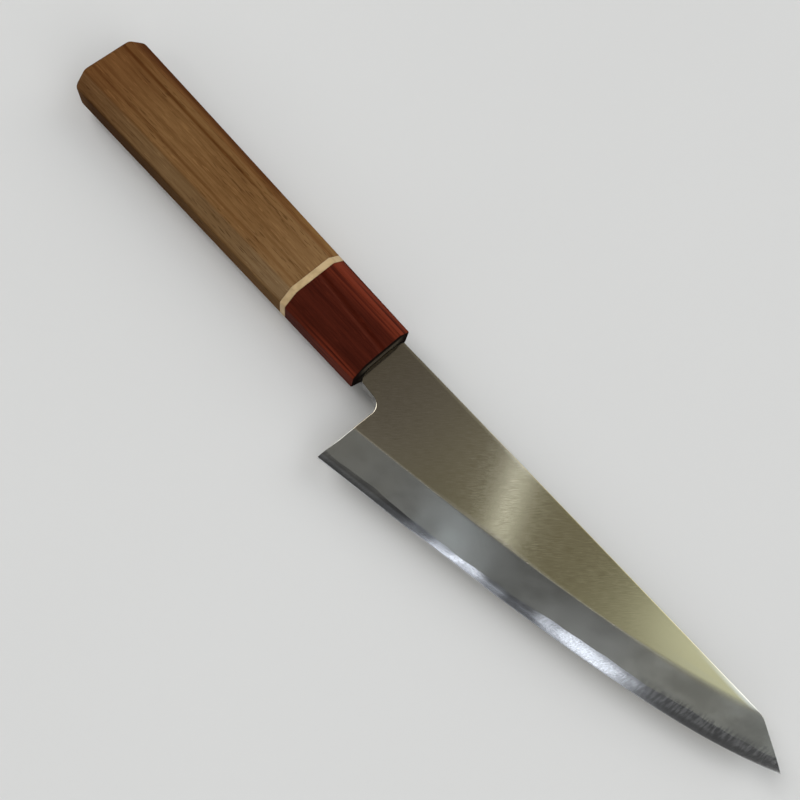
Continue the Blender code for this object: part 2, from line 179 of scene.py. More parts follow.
def weld_lift(side, x):
    """How far the bare core reaches up: measured lifts plus waves of 20 and 9 mm."""
    wave = 0.12 * np.sin(x * 0.31) + 0.08 * np.sin(x * 0.73 + 1.0)
    return np.interp(x, WELD_X, WELD_LIFT) + wave if side > 0 else LEFT_BAND + 0.7 * wave


print("weld line lies", weld_lift(1, np.array([20, 80, 140])).round(2), "mm above the edge")

# %% [markdown]
# ## The grind as a height
#
# A blade is easiest to think of as a height above its middle plane. On the flat it
# falls evenly to the point. Below the ridge, which a parabola rounds, it falls to the
# edge in two steps: the wide bevel of soft steel, then the bare band of hard steel.

# %% Height of each side
BAND_BELLY = 0.10


def softness(side, x):
    """Half the ridge's rounding: 0.35 mm, from x = 90 to 130 growing to 1.25, less where room ends."""
    if side < 0:
        return np.full_like(x, LEFT_SOFT)
    room = np.interp(x, SPINE[:, 0], SPINE[:, 1]) - edge_y(x) - ridge_lift(side, x)
    grow = np.clip((x - 90.0) / 40.0, 0.0, 1.0)
    return np.clip(np.minimum(0.35 + 0.9 * grow, 0.6 * room), 0.001, None)


def height(side, x, y):
    """Height above the middle plane: honed band, bevel, rounded ridge or flat."""
    x, y = np.asarray(x, dtype=float), np.asarray(y, dtype=float)
    lift, flat = y - edge_y(x), half_thickness(x)
    weld, ridge, soft = weld_lift(side, x), ridge_lift(side, x), softness(side, x)
    slope, over = (flat - HALF_CORE) / (ridge - weld), lift - ridge
    t = np.clip(lift / weld, 0.0, 1.0)
    band = HALF_EDGE + (HALF_CORE - HALF_EDGE) * t + BAND_BELLY * t * (1 - t)
    bevel = HALF_CORE + slope * (lift - weld)
    rounded = flat - slope * (soft - over) ** 2 / (4 * soft)
    return np.select([lift < weld, over < -soft, over < soft], [band, bevel, rounded], flat)


print("flat at x = 60:", height(1, 60, 0).round(3), "mm")

# %% [markdown]
# ## One outline for all three layers
#
# The layers share one outline: from the heel round the choil, along the neck and the
# hidden tang, back over the spine and down the clip. Points are set exactly where the
# lines of both sides run out, so that every patch can start there.

# %% Where the lines run out on heel and clip
LEG_POINTS = 2000
heel_leg = np.linspace(HEEL, CHOIL[0], LEG_POINTS)
clip_leg = walk(CLIP, np.linspace(1.0, 0.0, LEG_POINTS))


def ridge_border(side, end):
    """The lift at which the ridge's rounding starts (end -1) or stops (end 1)."""
    return lambda x: ridge_lift(side, x) + end * softness(side, x)


def run_out(leg, lift):
    """Share of a leg at which it first reaches a lift above the edge line."""
    above = leg[:, 1] - edge_y(leg[:, 0]) - lift(leg[:, 0])
    return float(np.argmax(above >= 0)) / (len(leg) - 1)


LINES = [partial(weld_lift, -1), partial(weld_lift, 1), ridge_border(-1, -1), ridge_border(-1, 1)]
heel_lines = LINES + [ridge_border(1, -1), ridge_border(1, 1)]
heel_stops = [0.0] + [run_out(heel_leg, line) for line in heel_lines] + [1.0]
clip_stops = [0.0] + [run_out(clip_leg, line) for line in LINES] + [1.0]
COUNTS = [3, 3, 5, 2, 8, 6, 8]
ROWS = np.concatenate([[0], np.cumsum(COUNTS)])
print("heel stops", np.round(heel_stops, 3), "clip stops", np.round(clip_stops, 3))

# %% [markdown]
# The tang and its shoulders are hidden in the ferrule. They could be left out, but the
# real blade is one bar of steel, so they are drawn too.

# %% The whole outline
TANG_MIDDLE, FRONT_HALF, MIDDLE_HALF, END_HALF = -36.0, 4.6, 3.55, 2.5


def stations(stops):
    """Shares of a leg: evenly spread between its stops."""
    parts = [np.linspace(a, b, n, endpoint=False) for a, b, n in zip(stops, stops[1:], COUNTS)]
    return np.concatenate(parts + [[1.0]])


def shoulder(neck, tang_y):
    """A quarter ellipse from the neck's corner to the tang at x = 0."""
    angle = np.linspace(0, math.pi / 2, 9)
    return np.column_stack([neck[0] * (1 - np.sin(angle)), tang_y + (neck[1] - tang_y) * np.cos(angle)])


neck = np.linspace(CHOIL[-1], NECK_LOW, 7)[1:-1]
half_tang = np.array([[TANG_MIDDLE, MIDDLE_HALF], [-TANG_LENGTH, END_HALF]])
tang = np.vstack([half_tang * [1, -1], half_tang[::-1]])
RIM = np.vstack([
    walk(heel_leg, stations(heel_stops)), CHOIL[1:], neck, shoulder(NECK_LOW, -FRONT_HALF), tang,
    shoulder(SPINE_START, FRONT_HALF)[::-1], SPINE[1:], walk(clip_leg, stations(clip_stops))[::-1],
])
LAST = len(RIM) - 1
print("outline has", len(RIM), "points")

# %% [markdown]
# Spine, choil and heel are eased, so that they don't cut the hand. A Bevel modifier
# would ease the cutting edge too, so the ease is a quarter circle carried along the
# outline. It needs the direction into the steel: the path's own, turned by 90 degrees.

# %% Inward direction and eased edge
EASE = 0.32
ahead = unit(np.vstack([RIM[1:], RIM[-1:]]) - RIM)
behind = unit(RIM - np.vstack([RIM[:1], RIM[:-1]]))
heading = unit(ahead + behind)
INWARD = np.column_stack([heading[:, 1], -heading[:, 0]])


def ease_radius(side):
    """Full on the flat; on the bevel it shrinks with the steel above the core."""
    steel = height(side, RIM[:, 0], RIM[:, 1]) - HALF_CORE
    return np.clip(np.minimum(EASE, 0.55 * steel), 0.0, None)


print("widest ease:", ease_radius(1).max(), "mm")

# %% [markdown]
# ## Patches
#
# Between two long curves and two short ones lies a Coons patch: blend the long curves,
# then add what the short ones miss, fading it away from each end. The height always
# comes from the grind, so neighbours meet without a step.

# %% Patch
FADE = 12


def pinned(curve, start, end):
    """A curve with its ends moved onto two points, the shift faded by u to the 12th."""
    u = np.linspace(0, 1, len(curve))[:, None]
    return curve + (1 - u) ** FADE * (start - curve[0]) + u ** FADE * (end - curve[-1])


def patch(low, high, left, right):
    """(1-v) low + v high, plus the short sides' own bend, faded by u to the 12th."""
    low, high = pinned(low, left[0], right[0]), pinned(high, left[-1], right[-1])
    u = np.linspace(0, 1, len(low))[:, None, None]
    v = np.linspace(0, 1, len(left))[None, :, None]
    sheet = (1 - v) * low[:, None, :] + v * high[:, None, :]
    left_bend, right_bend = (left - sheet[0])[None], (right - sheet[-1])[None]
    return sheet + (1 - u) ** FADE * left_bend + u ** FADE * right_bend


def raised(side, flat_points):
    """Plane points with their height on one side as z."""
    x, y = flat_points[..., 0], flat_points[..., 1]
    return np.dstack([x, y, side * height(side, x, y)])


print("edge starts at", raised(1, EDGE[None, :1]).round(2).ravel().tolist())

# %% [markdown]
# ## From grids to a closed piece
#
# A piece is several grids and a few flat faces that share borders. They could share
# indices, but it is simpler to draw each on its own and weld the doubles. An edge with
# only one face is a gap, and is counted. Crisp lines make a knife, so an edge is sharp
# where two parts meet or the surface turns by more than 35 degrees. Each piece stands
# for its CAD node.

# %% Grids, faces and the weld
WELD_GAP, SHARP_TURN = 2e-7, math.radians(35.0)


def grid(sheet, part=0):
    """The points of a sheet, and quads between its rows and columns."""
    rows, columns = sheet.shape[:2]
    index = np.arange(rows * columns).reshape(rows, columns)
    corners = [index[:-1, :-1], index[1:, :-1], index[1:, 1:], index[:-1, 1:]]
    return sheet.reshape(-1, 3), np.stack(corners, axis=-1).reshape(-1, 4), True, part


def face(loop):
    """A loop of points, and the one flat face round it."""
    return loop, np.arange(len(loop))[None], False, -1


def weld(name, node, *sheets):
    """Merges doubles, turns the faces out, marks sharp edges and makes the piece."""
    points, faces, smooth, parts = np.empty((0, 3)), [], [], []
    for spots, corners, soft, part in sheets:
        faces += (corners + len(points)).tolist()
        points = np.vstack([points, spots])
        smooth += [soft] * len(corners)
        parts += [part] * len(corners)
    mesh = bpy.data.meshes.new(name)
    mesh.from_pydata(to_world(points), [], faces)
    mesh.polygons.foreach_set("use_smooth", smooth)
    mesh.attributes.new("part", "INT", "FACE").data.foreach_set("value", parts)
    work = bmesh.new()
    work.from_mesh(mesh)
    bmesh.ops.remove_doubles(work, verts=work.verts, dist=WELD_GAP)
    bmesh.ops.dissolve_degenerate(work, edges=work.edges, dist=WELD_GAP / 2)
    bmesh.ops.recalc_face_normals(work, faces=work.faces)
    part_of = work.faces.layers.int["part"]
    closed = [edge for edge in work.edges if len(edge.link_faces) == 2]
    for edge in closed:
        one, other = edge.link_faces
        edge.smooth = one[part_of] == other[part_of] and edge.calc_face_angle() < SHARP_TURN
    open_edges = len(work.edges) - len(closed)
    work.to_mesh(mesh)
    work.free()
    mesh.attributes.remove(mesh.attributes["part"])
    piece = bpy.data.objects.new(name, mesh)
    bpy.context.scene.collection.objects.link(piece)
    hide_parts(node)
    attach(piece, "root")
    print(name, len(mesh.polygons), "faces,", open_edges, "open edges")
    return piece


print("a grid of 3 by 4 points has", len(grid(np.zeros((3, 4, 3)))[1]), "faces")

# %% [markdown]
# ## The blade's soft steel
#
# Each cladding is a thin shell: bevel and ridge are patches, the flat is one flat face,
# the rim is the carried quarter circle, and the inner face is the plane on which it is
# welded to the core. A boolean cut from a bar would give the same solid, but not rows
# of faces along the lines that catch the light.

# %% Long curves and eased rim
def lines_of(side):
    """Weld line and both borders of the rounded ridge: the edge plus each one's lift."""
    lifts = partial(weld_lift, side), ridge_border(side, -1), ridge_border(side, 1)
    weld_line, low, high = (np.column_stack([EDGE[:, 0], EDGE[:, 1] + lift(EDGE[:, 0])]) for lift in lifts)
    if side > 0:
        soft = softness(side, RIDGE[:, 0])[:, None] * [[0.0, 1.0]]
        low, high = RIDGE - soft, RIDGE + soft
    return weld_line, low, high


def welded_plane(side, first, weld_line):
    """The flat loop on the core: round the outline and back along the weld line."""
    back = pinned(weld_line, RIM[first], RIM[LAST - first])[::-1][1:-1]
    loop = np.vstack([RIM[first:LAST - first + 1], back])
    return np.column_stack([loop, np.full(len(loop), side * HALF_CORE)])


def eased_rim(side, inner, radius, first):
    """Rows at angle a: inward by radius (1 - sin a), down by radius (1 - cos a)."""
    top = height(side, inner[:, 0], inner[:, 1])[:, None]
    rows = []
    for angle in np.linspace(0, math.pi / 2, 6):
        flat = RIM + (inner - RIM) * (1 - math.sin(angle))
        rows.append(np.hstack([flat, side * (top - radius * (1 - math.cos(angle)))]))
    rows.append(np.hstack([RIM, np.full_like(top, side * HALF_CORE)]))
    rim = np.stack(rows)[:, first:LAST - first + 1]
    rim[:, [0, -1], 2] = side * HALF_CORE
    return rim


print("weld line starts at", lines_of(1)[0][0].round(2))

# %% [markdown]
# Each cladding could be drawn on its own, but one function serves both. They differ only
# in where the ridge ends: in the clip's corner on the right, on the clip on the left.

# %% Build the claddings
def make_cladding(side, name, node):
    """Patches for bevel and ridge, a flat face, the eased rim and the welded plane."""
    weld_line, low, high = lines_of(side)
    first, mid, top = (ROWS[2], ROWS[5], ROWS[6]) if side > 0 else (ROWS[1], ROWS[3], ROWS[4])
    radius = ease_radius(side)[:, None]
    radius[[first, LAST - first]] = 0.0
    inner = RIM + INWARD * radius
    bevel = raised(side, patch(weld_line, low, inner[first:mid + 1], inner[LAST - first:LAST - mid - 1:-1]))
    bevel[:, 0, 2] = side * HALF_CORE
    if side > 0:
        stop, right = LAST - mid, np.repeat(inner[LAST - mid][None], top - mid + 1, axis=0)
    else:
        stop, right = LAST - top, inner[LAST - mid:LAST - top - 1:-1]
    ridge = raised(side, patch(low, high, inner[mid:top + 1], right))
    rest = raised(side, inner[None, top:stop + 1])[0]
    flat = face(np.vstack([rest, ridge[::-1, -1][1:-1]]))
    rim, plane = grid(eased_rim(side, inner, radius, first), 1), face(welded_plane(side, first, weld_line))
    return weld(name, node, grid(bevel), grid(ridge), flat, rim, plane)


right_cladding = make_cladding(1, "right_cladding_ground", "right_cladding")
left_cladding = make_cladding(-1, "left_cladding_ground", "left_cladding")

# %% [markdown]
# ## The core
#
# The hard core shows as a narrow band along the edge on both sides and as a fine line
# in the spine. Its two bands are patches, the rest of its faces are the welded planes.

# %% Build the core
def make_core():
    """Two honed bands, two planes, one wall round the outline and the edge itself."""
    sheets, wall, foot = [], [], []
    for side, first in ((1, ROWS[2]), (-1, ROWS[1])):
        weld_line = lines_of(side)[0]
        band = raised(side, patch(EDGE, weld_line, RIM[:first + 1], RIM[LAST:LAST - first - 1:-1]))
        band[:, 0, 2], band[:, -1, 2] = side * HALF_EDGE, side * HALF_CORE
        sheets += [grid(band), face(welded_plane(side, first, weld_line))]
        level = side * np.minimum(HALF_CORE, height(side, RIM[:, 0], RIM[:, 1]))
        wall.append(np.column_stack([RIM, level]))
        foot.append(np.column_stack([EDGE, np.full(len(EDGE), side * HALF_EDGE)]))
    sheets += [grid(np.stack(wall), 1), grid(np.stack(foot), 2)]
    return weld("core_steel_honed", "core_steel", *sheets)


core = make_core()

# %% [markdown]
# ## The handle's eight sides
#
# An octagonal handle is a rectangle with four cut corners, its edges broken with fine
# paper, here by an arc of 1.2 mm. A Bevel modifier on a plain prism would be quicker,
# but wouldn't follow the taper. All edges turn by 45 degrees, so a handle is a stack of
# like rings, and those of bores and slot use the same angles.

# %% Rings of the handle
LENGTH, BUTT_HEIGHT, FRONT_HEIGHT, THICKNESS = 124.0, 25.8, 22.2, 16.8
BUTT_CUT, FRONT_CUT, EDGE_RADIUS, HALF_TURN = 4.5, 4.4, 1.2, 22.5
BORE, SLOT_HEIGHT, SLOT_THICKNESS = 7.0, 5.3, 2.4
CORNER_ANGLES = np.radians(HALF_TURN + 45.0 * np.arange(8))


def octagon(x, inset=0.0, radius=EDGE_RADIUS):
    """Ring at x: a corner's arc centre plus radius times (cosine, sine)."""
    share = -x / LENGTH
    high = (FRONT_HEIGHT + (BUTT_HEIGHT - FRONT_HEIGHT) * share) / 2 - inset
    thick = THICKNESS / 2 - inset
    cut = FRONT_CUT + (BUTT_CUT - FRONT_CUT) * share - inset * (2 - math.sqrt(2))
    y, z = np.array([high, high - cut]), np.array([thick - cut, thick])
    y, z = np.hstack([y, -y[::-1], -y, y[::-1]]), np.hstack([z, z[::-1], -z, -z[::-1]])
    reach = radius / math.cos(math.radians(HALF_TURN))
    y, z = y - reach * np.cos(CORNER_ANGLES), z - reach * np.sin(CORNER_ANGLES)
    angle = CORNER_ANGLES[:, None] + np.radians(np.linspace(-HALF_TURN, HALF_TURN, 7))[None]
    ring = np.dstack([y[:, None] + radius * np.cos(angle), z[:, None] + radius * np.sin(angle)])
    return np.column_stack([np.full(ring.size // 2, x), ring.reshape(-1, 2)])


ring_angles = np.arctan2(octagon(0.0)[:, 2], octagon(0.0)[:, 1])
cosine, sine = np.cos(ring_angles), np.sin(ring_angles)


def ray_ring(x, reach=BORE):
    """Ring at x: a reach times (cosine, sine) of the octagon's own angles."""
    return np.column_stack([np.full(len(cosine), x), reach * cosine, reach * sine])


def slot(x):
    """Ring at x on a rectangle: each angle's ray, cut off at the nearer wall."""
    to_high, to_thick = np.maximum(abs(cosine), 1e-6), np.maximum(abs(sine), 1e-6)
    return ray_ring(x, np.minimum(SLOT_HEIGHT / to_high, SLOT_THICKNESS / to_thick))


print("ring has", len(octagon(0.0)), "points")

# %% [markdown]
# The walnut body runs from the floor of its bore to the front face, along the eight
# sides and over the rounded butt, and two end faces close it. Ferrule and spacer are
# collars, whose rings come back to the first one.

# %% Walnut body, spacer and ferrule
BORE_FLOOR, BODY_FRONT, BUTT_EASE, BUTT_FACE = -80.4, -31.25, 2.3, 4.0
FERRULE_BACK, LIP, STEP, BREAK, RING_BREAK = -29.05, 0.5, -4.0, 0.12, 0.1


def ringed(rings, name, node, collar=True):
    """A surface through closed rings: a collar ends on its first ring, a body in two faces."""
    sheet = np.stack(rings + rings[:1] if collar else rings)
    ends = [] if collar else [face(rings[0]), face(rings[-1])]
    return weld(name, node, grid(np.concatenate([sheet, sheet[:, :1]], axis=1)), *ends)


def body_rings():
    """Bore, front face, eight sides and a butt rounded over a quarter circle."""
    rings = [ray_ring(BORE_FLOOR), ray_ring(BODY_FRONT), octagon(BODY_FRONT, BREAK)]
    for x in np.linspace(-31.4, -LENGTH + 4.0, 12):
        rings.append(octagon(x, 0.0, EDGE_RADIUS + 0.5 * max(0.0, (-x - 100.0) / 20.0)))
    for a in np.linspace(0, math.pi / 2, 9):
        inset = BUTT_EASE * (1 - math.cos(a))
        rings.append(octagon(-LENGTH + BUTT_EASE * (1 - math.sin(a)), inset, 1.9 + 0.6 * inset))
    return rings + [octagon(-LENGTH, BUTT_FACE)]


def ferrule_rings():
    """Slotted front face, rounded lip, eight sides, back face, bore and inner step."""
    rings = [slot(0.0), octagon(0.0, 2.0, 1.0)]
    for a in np.linspace(math.pi / 2, 0, 7):
        rings.append(octagon(-LIP * (1 - math.sin(a)), LIP * (1 - math.cos(a))))
    rings += [octagon(x) for x in np.linspace(STEP, -28.9, 6)]
    return rings + [octagon(FERRULE_BACK, BREAK), ray_ring(FERRULE_BACK), ray_ring(STEP), slot(STEP)]


body = ringed(body_rings(), "handle_body_walnut", "handle_body", collar=False)
spacer = ringed([
    octagon(FERRULE_BACK, RING_BREAK), octagon(FERRULE_BACK - RING_BREAK),
    octagon(BODY_FRONT + RING_BREAK), octagon(BODY_FRONT, RING_BREAK),
    ray_ring(BODY_FRONT), ray_ring(FERRULE_BACK),
], "spacer_ring_cream", "spacer_ring")
ferrule = ringed(ferrule_rings(), "ferrule_red_wood", "ferrule")

# %% [markdown]
# ## Building materials from small helpers
#
# A material is a tree of nodes. It could be clicked together, but in code each line
# says what it mixes or measures. A socket knows its own tree, so a helper only needs
# values: it wires a socket, and sets a number or a colour.

# %% Wiring
def fill(inputs, values):
    """Wires sockets to the inputs of their names, and sets numbers and colours."""
    for key, value in values.items():
        if isinstance(value, bpy.types.NodeSocket):
            value.id_data.links.new(value, inputs[key])
        else:
            inputs[key].default_value = (*value, 1.0) if inputs[key].type == "RGBA" else value


def add(tree, kind, values, **settings):
    """A shader node of a kind, its settings set and its inputs filled."""
    made = tree.nodes.new("ShaderNode" + kind)
    for key, value in settings.items():
        setattr(made, key, value)
    fill(made.inputs, values)
    return made


def tree_of(*values):
    """The tree of the first value that is a socket."""
    return next(value.id_data for value in values if isinstance(value, bpy.types.NodeSocket))


def calc(operation, first, second=0):
    """One number worked out of one or two others."""
    return add(tree_of(first, second), "Math", {0: first, 1: second}, operation=operation).outputs[0]


times, plus, minus = partial(calc, "MULTIPLY"), partial(calc, "ADD"), partial(calc, "SUBTRACT")


def away(value, centre):
    """How far a value is from a centre: the size of their difference."""
    return calc("ABSOLUTE", minus(value, centre))


def parts_of(vector):
    """The three numbers of a vector, X, Y and Z."""
    return add(vector.id_data, "SeparateXYZ", {0: vector}).outputs


print("number helpers:", times.args, plus.args, minus.args)

# %% [markdown]
# Most masks are a Map Range with smooth ends, because a finish on wood or steel never
# stops at a line. A tint multiplies a tone, so the grain below stays visible, where a
# plain mix would cover it.

# %% Masks, mixes and noise
def spread(value, low, high, to_low=0, to_high=1):
    """Map Range with smooth ends: low becomes to_low and high becomes to_high."""
    values = {"Value": value, "From Min": low, "From Max": high, "To Min": to_low, "To Max": to_high}
    return add(value.id_data, "MapRange", values, interpolation_type="SMOOTHSTEP").outputs["Result"]


def between(value, start, full, fading, end):
    """One slope up times one slope down: 1 from full to fading."""
    return times(spread(value, start, full), spread(value, end, fading))


def blend(mask, one, other, how="MIX"):
    """(1 - mask) times one colour plus mask times the other."""
    settings = {"data_type": "RGBA", "blend_type": how}
    return add(tree_of(mask, one, other), "Mix", {0: mask, 6: one, 7: other}, **settings).outputs[2]


def tinted(tone, tint, mask=1):
    """The tone, multiplied by the tint where the mask is 1."""
    return blend(mask, tone, tint, "MULTIPLY")


def noise(place, scale, detail=2, rough=0.5, stretch=None):
    """Clouds from 0 to 1; a stretch below 1 draws them out along its axis."""
    if stretch:
        place = add(place.id_data, "Mapping", {"Vector": place, "Scale": stretch}).outputs[0]
    values = {"Vector": place, "Scale": scale, "Detail": detail, "Roughness": rough}
    return add(place.id_data, "TexNoise", values).outputs["Fac"]


def bump(relief, strength, distance):
    """A normal that leans with a relief's slope times strength times distance."""
    values = {"Strength": strength, "Distance": distance, "Height": relief}
    return add(relief.id_data, "Bump", values).outputs[0]


print("mask helpers:", spread.__name__, between.__name__)

# %% [markdown]
# Grain and scratches are used by several materials. Each is built once as a node group,
# and every material places it with values of its own. The shader stays in the material:
# a look only says what goes into it.

# %% Groups and materials
def new_group(name, inputs, outputs):
    """A node group, its sockets named by kind, and its two end nodes."""
    tree = bpy.data.node_groups.new(name, "ShaderNodeTree")
    for way, sockets in (("INPUT", inputs), ("OUTPUT", outputs)):
        for kind, labels in sockets.items():
            for label in labels.split():
                tree.interface.new_socket(label, in_out=way, socket_type="NodeSocket" + kind)
    return tree, tree.nodes.new("NodeGroupInput").outputs, tree.nodes.new("NodeGroupOutput").inputs


def use_group(tree, group, *values):
    """The outputs of a group in a tree, its inputs filled in their order."""
    return add(tree, "Group", dict(enumerate(values)), node_tree=group).outputs


def object_place(tree):
    """Object coordinates: metres that stay with the piece."""
    return add(tree, "TexCoord", {}).outputs["Object"]


def moved(operation, place, by):
    """The operation on each of a vector's three numbers."""
    return add(place.id_data, "VectorMath", {0: place, 1: by}, operation=operation).outputs[0]


def drawing_axes(place):
    """Object coordinates less the axis front, times 1000: drawing millimetres."""
    return parts_of(moved("MULTIPLY", moved("SUBTRACT", place, tuple(AXIS_FRONT)), (MM_IN_METRE,) * 3))


def finish(name, look, *pieces):
    """One new material on some pieces; its shader gets what the look gives for its tree."""
    made = bpy.data.materials.new(name)
    made.use_nodes = True
    tree = made.node_tree
    fill(tree.nodes["Principled BSDF"].inputs, look(tree))
    for piece in pieces:
        worn = bpy.data.objects[piece].data.materials
        worn.clear()
        worn.append(made)
    print(name, "with", len(tree.nodes), "nodes on", ", ".join(pieces))

# %% [markdown]
# ## Wood grain
#
# Wood seen along the plank is streaks in streaks: broad bands from the growth rings,
# fine fibres, and short dark pores. All run along the handle, so each is noise on
# coordinates that are squeezed along x. One group serves three woods. Each gives it a
# dark, a light and a pore colour, the scales of bands and fibres, and its share of
# pores.

# %% The grain group
SWAY, FLECK_GAIN = (0.0016,) * 3, (1.35,) * 3


def make_grain():
    """Dark to Light by 0.4 bands + 0.6 fibres, bright flecks, then pores on top."""
    inputs = {"Color": "Dark Light Pore", "Float": "Bands Fibres Share"}
    tree, given, result = new_group("wood_grain", inputs, {"Color": "Color", "Float": "Height Pores"})
    place = object_place(tree)
    sway = add(tree, "TexNoise", {"Vector": place, "Scale": 22, "Detail": 1}).outputs["Color"]
    place = moved("ADD", place, moved("MULTIPLY", sway, SWAY))
    bands = noise(place, given["Bands"], 3, 0.6, (0.05, 1, 0.6))
    fibres = noise(place, given["Fibres"], 3, 0.7, (0.045, 1, 1))
    dashes = noise(place, times(given["Fibres"], 2), 1, 0.5, (0.09, 1, 1))
    patches = noise(place, times(given["Bands"], 1.3), 1, 0.5, (0.15, 1, 1))
    streak = plus(times(bands, 0.4), times(fibres, 0.6))
    tone = blend(spread(streak, 0.34, 0.66), given["Dark"], given["Light"])
    fleck = times(spread(dashes, 0.40, 0.27), spread(patches, 0.60, 0.42))
    tone = blend(times(fleck, 0.6), tone, tinted(given["Light"], FLECK_GAIN))
    pores = times(times(spread(dashes, 0.57, 0.70), spread(patches, 0.34, 0.60)), given["Share"])
    relief = minus(times(fibres, 0.35), pores)
    fill(result, {"Color": blend(pores, tone, given["Pore"]), "Height": relief, "Pores": pores})
    return tree


GRAIN = make_grain()
print("grain group:", len(GRAIN.nodes), "nodes")

# %% [markdown]
# ### Walnut
#
# Oiled walnut is mid brown and straight-grained, almost without gloss. It gets lighter
# and greyer towards the ferrule, and two growth rings run along it. The lower bevel has
# a painted sheen, the upper bevel and the lower side painted shade, which turns to painted
# light on the upper bevel near the ferrule. A painted map could hold this; here it is a
# tint that changes with x and y. The pores are hollow, so one mask makes them darker,
# duller and lower.

# %% Walnut
WALNUT = (0.112, 0.050, 0.0155), (0.166, 0.082, 0.0285), (0.070, 0.030, 0.0090), 190, 1300, 0.75
BUTT_TINT, MIDDLE_TINT, FRONT_TINT = (0.90, 0.82, 0.80), (1.13, 1.20, 1.30), (1.32, 1.52, 1.85)
# The lower bevel's tint is a painted sheen; the upper bevel's is painted shade, and its outer part's turns
# to painted light near the ferrule.
RING_TINT, LOWER_BEVEL_SHEEN, UPPER_BEVEL_SHADE = (0.60, 0.48, 0.36), (1.0, 1.13, 1.35), (0.92, 0.80, 0.70)
LOWER_SIDE_SHADE, UPPER_RIM_SHADE_AND_LIGHT = ((0.34, 0.26, 0.17), (0.66, 0.57, 0.45)), ((0.61, 0.49, 0.42), (1.32, 1.48, 1.46))
HALF_TAPER, OILED = -0.0145, 0.004


def walnut_tint(axes):
    """Butt to ferrule by x, then rings, then painted sheen and shade by the distance to the side."""
    x, y = axes["X"], axes["Y"]
    tint = blend(spread(x, -124, -88), BUTT_TINT, MIDDLE_TINT)
    tint = blend(spread(x, -62, -31), tint, FRONT_TINT)
    for ring_y, end_x, strength in ((5.8, -70, 1), (-5.5, -30, 0.5)):
        line = times(spread(away(y, ring_y), 0.85, 0.15), spread(x, end_x + 20, end_x))
        tint = tinted(tint, RING_TINT, times(line, strength))
    half_height = plus(times(x, HALF_TAPER), FRONT_HEIGHT / 2)
    below, above = minus(times(y, -1), half_height), minus(y, half_height)
    # painted sheen: the lower bevel made paler and greyer
    tint = tinted(tint, LOWER_BEVEL_SHEEN, spread(below, -4.4, -3.6))
    # painted shade: the lower side face is darkened, most towards the butt, less on its rounding
    side = blend(spread(x, -94, -54), *LOWER_SIDE_SHADE)
    tint = tinted(tint, side, times(spread(below, -0.9, 0.15), spread(x, -123, -115, 0.4, 1)))
    # painted shade on the upper bevel
    tint = tinted(tint, UPPER_BEVEL_SHADE, spread(above, -4.4, -3.6))
    # painted shade on the upper bevel's outer part, turning to painted light near the ferrule
    return tinted(tint, blend(spread(x, -62, -46), *UPPER_RIM_SHADE_AND_LIGHT), spread(above, -3.2, -0.9))


def walnut(tree):
    """Grain times the tint; pores add roughness and lower the surface."""
    grain = use_group(tree, GRAIN, *WALNUT)
    return {
        "Base Color": tinted(grain["Color"], walnut_tint(drawing_axes(object_place(tree)))),
        "Specular IOR Level": OILED, "Roughness": spread(grain["Pores"], 0, 1, 0.48, 0.65),
        "Normal": bump(grain["Height"], 0.35, 0.00012),
    }


finish("walnut_oiled", walnut, "handle_body_walnut")

# %% [markdown]
# ### Red wood
#
# The ferrule is a dense red wood, polished closer: wine red in the middle, with orange
# and dark stripes towards both sides. The grain group alone would be too even, so the
# stripes are a second, coarser noise. The front shows dull end grain. It could be a
# piece of its own, but a place along x tells it as well.

# %% Red wood
RED_WOOD = (0.039, 0.0070, 0.0040), (0.066, 0.0124, 0.0065), (0.023, 0.005, 0.003), 200, 1300, 0.3
ORANGE, SHEEN_LINE_TINT, DEEP_TINT = (0.205, 0.036, 0.016), (1.30, 1.45, 1.5), (0.84, 0.70, 0.60)
END_DARK, END_LIGHT, END_RIM = (0.044, 0.037, 0.027), (0.070, 0.060, 0.044), (0.008, 0.005, 0.004)


def striped(tone, place, axes):
    """Orange stripes near both sides, a painted sheen line and a deep line that drift with x."""
    x, y = axes["X"], axes["Y"]
    upper = times(spread(y, 1.8, 9), spread(y, 9, 10.8, 1, 0.55))
    lower = times(spread(y, -8.6, -10.6, 0, 0.7), spread(x, -24, -8, 0.3, 1))
    stripes = spread(noise(place, 900, 2, 0.6, (0.02, 1, 0.6)), 0.40, 0.60)
    tone = blend(times(times(stripes, plus(upper, lower)), 0.8), tone, ORANGE)
    drift = plus(y, times(plus(x, 22), 0.078))
    # painted sheen: a thin bright line that drifts with x
    tone = tinted(tone, SHEEN_LINE_TINT, spread(away(drift, 0.6), 0.55, 0.1))
    return tinted(tone, DEEP_TINT, spread(away(drift, 2), 1, 0.3))


def end_face(place, axes):
    """Brown-grey end grain that darkens towards the lip on all sides."""
    far_z, far_y = calc("ABSOLUTE", axes["Z"]), calc("ABSOLUTE", axes["Y"])
    grain = blend(spread(noise(place, 2600, 2, 0.6), 0.35, 0.65), END_DARK, END_LIGHT)
    return blend(times(spread(far_z, 6.6, 5), spread(far_y, 9.4, 5.5)), END_RIM, grain)


def red_wood(tree):
    """Striped grain on the sides, end grain in front; rougher pores and front."""
    grain, place = use_group(tree, GRAIN, *RED_WOOD), object_place(tree)
    axes = drawing_axes(place)
    front, gloss = spread(axes["X"], -0.28, -0.06), spread(grain["Pores"], 0, 1, 0.36, 0.5)
    return {
        "Base Color": blend(front, striped(grain["Color"], place, axes), end_face(place, axes)),
        "Specular IOR Level": OILED, "Roughness": calc("MAXIMUM", gloss, times(front, 0.9)),
        "Normal": bump(grain["Height"], 0.2, 0.0001),
    }


finish("red_wood_polished", red_wood, "ferrule_red_wood")

